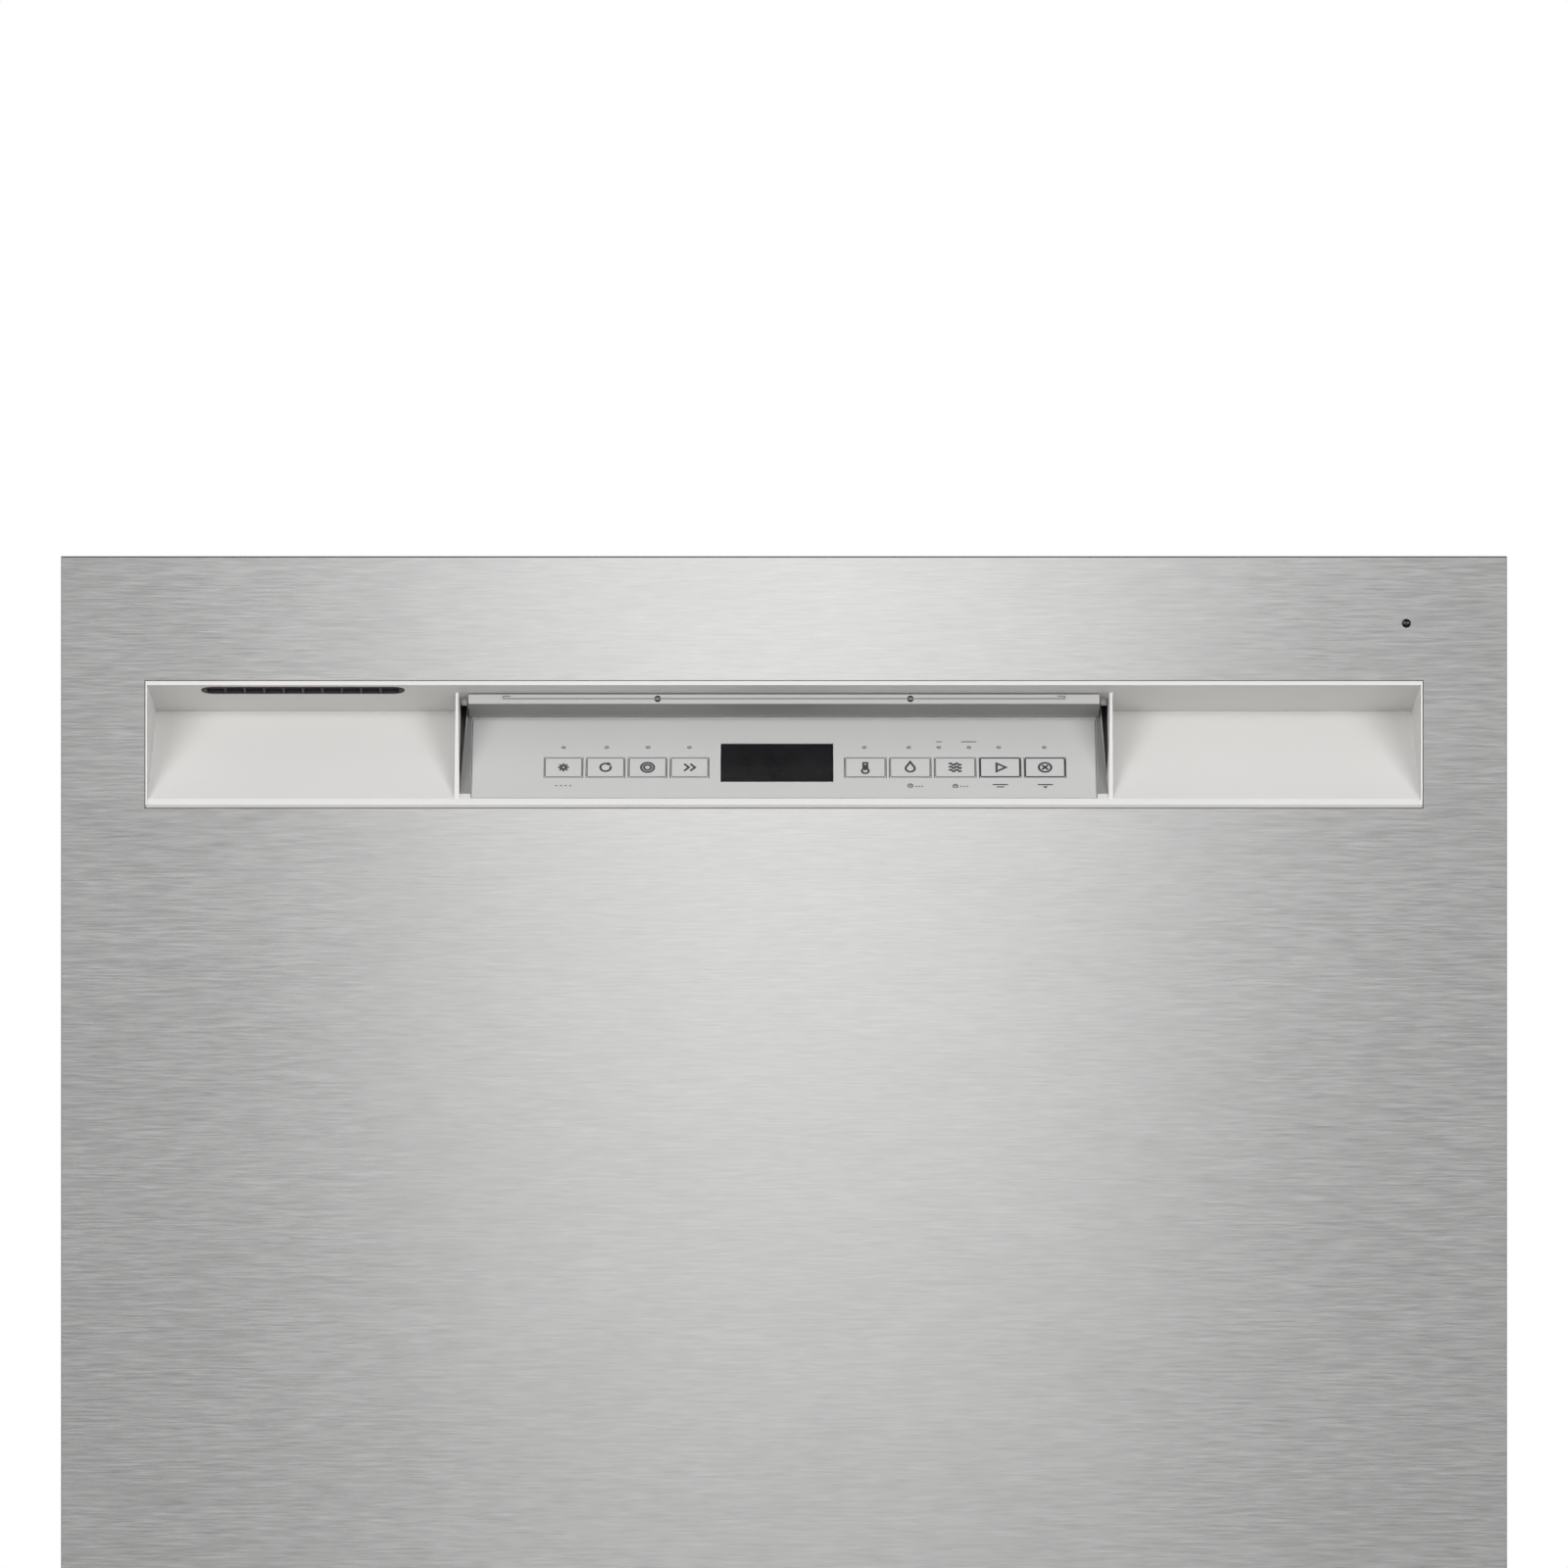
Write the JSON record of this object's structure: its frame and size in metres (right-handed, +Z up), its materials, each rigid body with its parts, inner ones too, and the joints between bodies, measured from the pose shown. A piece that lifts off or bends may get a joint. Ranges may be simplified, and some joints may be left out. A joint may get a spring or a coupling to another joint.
{
  "type": "built-in dishwasher",
  "caption": "Built-in dishwasher with a brushed steel pull-down door, a pocket handle across its top, front controls, sliding racks and spray arms.",
  "frame": {"origin": "on the floor, under the middle of the machine's outer box", "axes": "+Z up, -Y towards the person who opens the door, +X to that person's right"},
  "size_m": [0.606, 0.622, 0.8523],
  "materials": {
    "brushed_steel": "horizontal brushed grain, clear fingerprint coat",
    "tub_steel": "bright rolled stainless",
    "screw_steel": "bright",
    "galvanised": "galvanised, dull",
    "dark_plastic": "fine texture",
    "black_painted": "satin black",
    "pocket_grey": "satin warm grey",
    "fascia_grey": "satin metallic grey",
    "key_grey": "satin",
    "grey_plastic": "moulded polypropylene",
    "pale_plastic": "moulded",
    "display_glass": "smoked, glossy",
    "lamp_plastic": "clear light guide",
    "board": "lacquered circuit board",
    "rubber": "matt",
    "coated_wire": "nylon-coated steel wire",
    "heater_metal": "heat-tinted sheath"
  },
  "bodies": {
    "root": {"tub": "tub_steel", "tub_gasket": "rubber", "base_frame": "dark_plastic", "toe_kick_panel": "black_painted", "mount_bracket_left": "galvanised", "mount_bracket_right": "galvanised", "sump": "grey_plastic", "heating_element": "heater_metal", "spray_manifold": "grey_plastic", "wash_pump": "dark_plastic", "drain_pump": "dark_plastic", "inlet_valve": "pale_plastic", "junction_box": "galvanised"},
    "door": {"door_outer_panel": "brushed_steel", "door_edge_frame": "dark_plastic", "status_lens": "display_glass", "handle_pocket": "pocket_grey", "vent_grille": "dark_plastic", "console_fascia": "fascia_grey", "display_window": "display_glass", "indicator_light_guide": "lamp_plastic", "control_board": "board", "console_ledge": "fascia_grey", "ledge_screw_left": "screw_steel", "ledge_screw_right": "screw_steel", "door_inner_liner": "tub_steel", "door_bottom_seal": "rubber", "dispenser_housing": "pale_plastic", "hinge_arm_left": "galvanised", "hinge_arm_right": "galvanised"},
    "latch": {"door_latch": "grey_plastic"},
    "lid": {"detergent_lid": "pale_plastic"},
    "rinse_cap": {"rinse_aid_cap": "grey_plastic"},
    "filter": {"filter_cup": "grey_plastic"},
    "lower_arm": {"lower_spray_arm": "grey_plastic"},
    "float": {"float_cap": "grey_plastic"},
    "rail_left": {"rack_rail_left": "galvanised"},
    "rail_right": {"rack_rail_right": "galvanised"},
    "upper_rack_body": {"upper_rack": "coated_wire", "upper_feed_tube": "grey_plastic"},
    "upper_arm": {"upper_spray_arm": "grey_plastic"},
    "lower_rack_body": {"lower_rack": "coated_wire", "silverware_basket": "grey_plastic"},
    "key_left_1_cap": {"key_left_1": "key_grey"},
    "key_left_2_cap": {"key_left_2": "key_grey"},
    "key_left_3_cap": {"key_left_3": "key_grey"},
    "key_left_4_cap": {"key_left_4": "key_grey"},
    "key_right_1_cap": {"key_right_1": "key_grey"},
    "key_right_2_cap": {"key_right_2": "key_grey"},
    "key_right_3_cap": {"key_right_3": "key_grey"},
    "key_right_4_cap": {"key_right_4": "key_grey"},
    "key_right_5_cap": {"key_right_5": "key_grey"},
    "foot_front_left_screw": {"foot_front_left": "grey_plastic"},
    "foot_front_right_screw": {"foot_front_right": "grey_plastic"},
    "foot_back_left_screw": {"foot_back_left": "grey_plastic"},
    "foot_back_right_screw": {"foot_back_right": "grey_plastic"},
    "wheel_front_left_roller": {"wheel_front_left": "grey_plastic"},
    "wheel_front_right_roller": {"wheel_front_right": "grey_plastic"},
    "wheel_back_left_roller": {"wheel_back_left": "grey_plastic"},
    "wheel_back_right_roller": {"wheel_back_right": "grey_plastic"}
  },
  "joints": [
    {"name": "door_hinge", "type": "hinge", "parent": "root", "child": "door", "pos_m": [0, -0.29, 0.128], "axis": [1, 0, 0], "range_deg": [0, 90], "stiffness_Nm_per_rad": 18},
    {"name": "key_left_1_press", "type": "slide", "parent": "door", "child": "key_left_1_cap", "axis": [0, 0.737, -0.6759], "range_m": [0, 0.0006], "stiffness_N_per_m": 1200, "springref_m": -0.0005},
    {"name": "key_left_2_press", "type": "slide", "parent": "door", "child": "key_left_2_cap", "axis": [0, 0.737, -0.6759], "range_m": [0, 0.0006], "stiffness_N_per_m": 1200, "springref_m": -0.0005},
    {"name": "key_left_3_press", "type": "slide", "parent": "door", "child": "key_left_3_cap", "axis": [0, 0.737, -0.6759], "range_m": [0, 0.0006], "stiffness_N_per_m": 1200, "springref_m": -0.0005},
    {"name": "key_left_4_press", "type": "slide", "parent": "door", "child": "key_left_4_cap", "axis": [0, 0.737, -0.6759], "range_m": [0, 0.0006], "stiffness_N_per_m": 1200, "springref_m": -0.0005},
    {"name": "key_right_1_press", "type": "slide", "parent": "door", "child": "key_right_1_cap", "axis": [0, 0.737, -0.6759], "range_m": [0, 0.0006], "stiffness_N_per_m": 1200, "springref_m": -0.0005},
    {"name": "key_right_2_press", "type": "slide", "parent": "door", "child": "key_right_2_cap", "axis": [0, 0.737, -0.6759], "range_m": [0, 0.0006], "stiffness_N_per_m": 1200, "springref_m": -0.0005},
    {"name": "key_right_3_press", "type": "slide", "parent": "door", "child": "key_right_3_cap", "axis": [0, 0.737, -0.6759], "range_m": [0, 0.0006], "stiffness_N_per_m": 1200, "springref_m": -0.0005},
    {"name": "key_right_4_press", "type": "slide", "parent": "door", "child": "key_right_4_cap", "axis": [0, 0.737, -0.6759], "range_m": [0, 0.0006], "stiffness_N_per_m": 1200, "springref_m": -0.0005},
    {"name": "key_right_5_press", "type": "slide", "parent": "door", "child": "key_right_5_cap", "axis": [0, 0.737, -0.6759], "range_m": [0, 0.0006], "stiffness_N_per_m": 1200, "springref_m": -0.0005},
    {"name": "latch_press", "type": "slide", "parent": "door", "child": "latch", "axis": [0, 0, -1], "range_m": [0, 0.005], "stiffness_N_per_m": 800, "springref_m": -0.002},
    {"name": "lid_slide", "type": "slide", "parent": "door", "child": "lid", "axis": [0, 0, 1], "range_m": [0, 0.045]},
    {"name": "rinse_cap_turn", "type": "hinge", "parent": "door", "child": "rinse_cap", "pos_m": [0.05, -0.2583, 0.5], "axis": [0, 1, 0], "range_deg": [0, 90]},
    {"name": "filter_turn", "type": "hinge", "parent": "root", "child": "filter", "pos_m": [0, 0.118, 0.12], "axis": [0, 0, 1], "range_deg": [0, 90]},
    {"name": "lower_arm_spin", "type": "hinge", "parent": "root", "child": "lower_arm", "pos_m": [0, 0.03, 0.19], "axis": [0, 0, 1], "continuous": true},
    {"name": "float_rise", "type": "slide", "parent": "root", "child": "float", "axis": [0, 0, 1], "range_m": [0, 0.012]},
    {"name": "foot_front_left_adjust", "type": "slide", "parent": "root", "child": "foot_front_left_screw", "axis": [0, 0, -1], "range_m": [0, 0.025]},
    {"name": "foot_front_right_adjust", "type": "slide", "parent": "root", "child": "foot_front_right_screw", "axis": [0, 0, -1], "range_m": [0, 0.025]},
    {"name": "foot_back_left_adjust", "type": "slide", "parent": "root", "child": "foot_back_left_screw", "axis": [0, 0, -1], "range_m": [0, 0.025]},
    {"name": "foot_back_right_adjust", "type": "slide", "parent": "root", "child": "foot_back_right_screw", "axis": [0, 0, -1], "range_m": [0, 0.025]},
    {"name": "upper_rack_slide", "type": "slide", "parent": "root", "child": "upper_rack_body", "axis": [0, -1, 0], "range_m": [0, 0.4725]},
    {"name": "rail_left_slide", "type": "slide", "parent": "root", "child": "rail_left", "axis": [0, -1, 0], "range_m": [0, 0.237]},
    {"name": "rail_right_slide", "type": "slide", "parent": "root", "child": "rail_right", "axis": [0, -1, 0], "range_m": [0, 0.237]},
    {"name": "upper_arm_spin", "type": "hinge", "parent": "upper_rack_body", "child": "upper_arm", "pos_m": [0, 0.03, 0.465], "axis": [0, 0, 1], "continuous": true},
    {"name": "lower_rack_slide", "type": "slide", "parent": "root", "child": "lower_rack_body", "axis": [0, -1, 0], "range_m": [0, 0.48]},
    {"name": "wheel_front_left_roll", "type": "hinge", "parent": "lower_rack_body", "child": "wheel_front_left_roller", "pos_m": [-0.2585, -0.15, 0.1803], "axis": [1, 0, 0], "range_deg": [0, 1528]},
    {"name": "wheel_front_right_roll", "type": "hinge", "parent": "lower_rack_body", "child": "wheel_front_right_roller", "pos_m": [0.2585, -0.15, 0.1803], "axis": [1, 0, 0], "range_deg": [0, 1528]},
    {"name": "wheel_back_left_roll", "type": "hinge", "parent": "lower_rack_body", "child": "wheel_back_left_roller", "pos_m": [-0.2585, 0.19, 0.1803], "axis": [1, 0, 0], "range_deg": [0, 1528]},
    {"name": "wheel_back_right_roll", "type": "hinge", "parent": "lower_rack_body", "child": "wheel_back_right_roller", "pos_m": [0.2585, 0.19, 0.1803], "axis": [1, 0, 0], "range_deg": [0, 1528]}
  ],
  "couplings": [
    {"joint": "upper_rack_slide", "follows": "door_hinge", "m_per_rad": 0.3},
    {"joint": "rail_left_slide", "follows": "door_hinge", "m_per_rad": 0.15},
    {"joint": "rail_right_slide", "follows": "door_hinge", "m_per_rad": 0.15},
    {"joint": "lower_rack_slide", "follows": "door_hinge", "m_per_rad": 0.035},
    {"joint": "wheel_front_left_roll", "follows": "door_hinge", "ratio": 1.9444},
    {"joint": "wheel_front_right_roll", "follows": "door_hinge", "ratio": 1.9444},
    {"joint": "wheel_back_left_roll", "follows": "door_hinge", "ratio": 1.9444},
    {"joint": "wheel_back_right_roll", "follows": "door_hinge", "ratio": 1.9444}
  ]
}
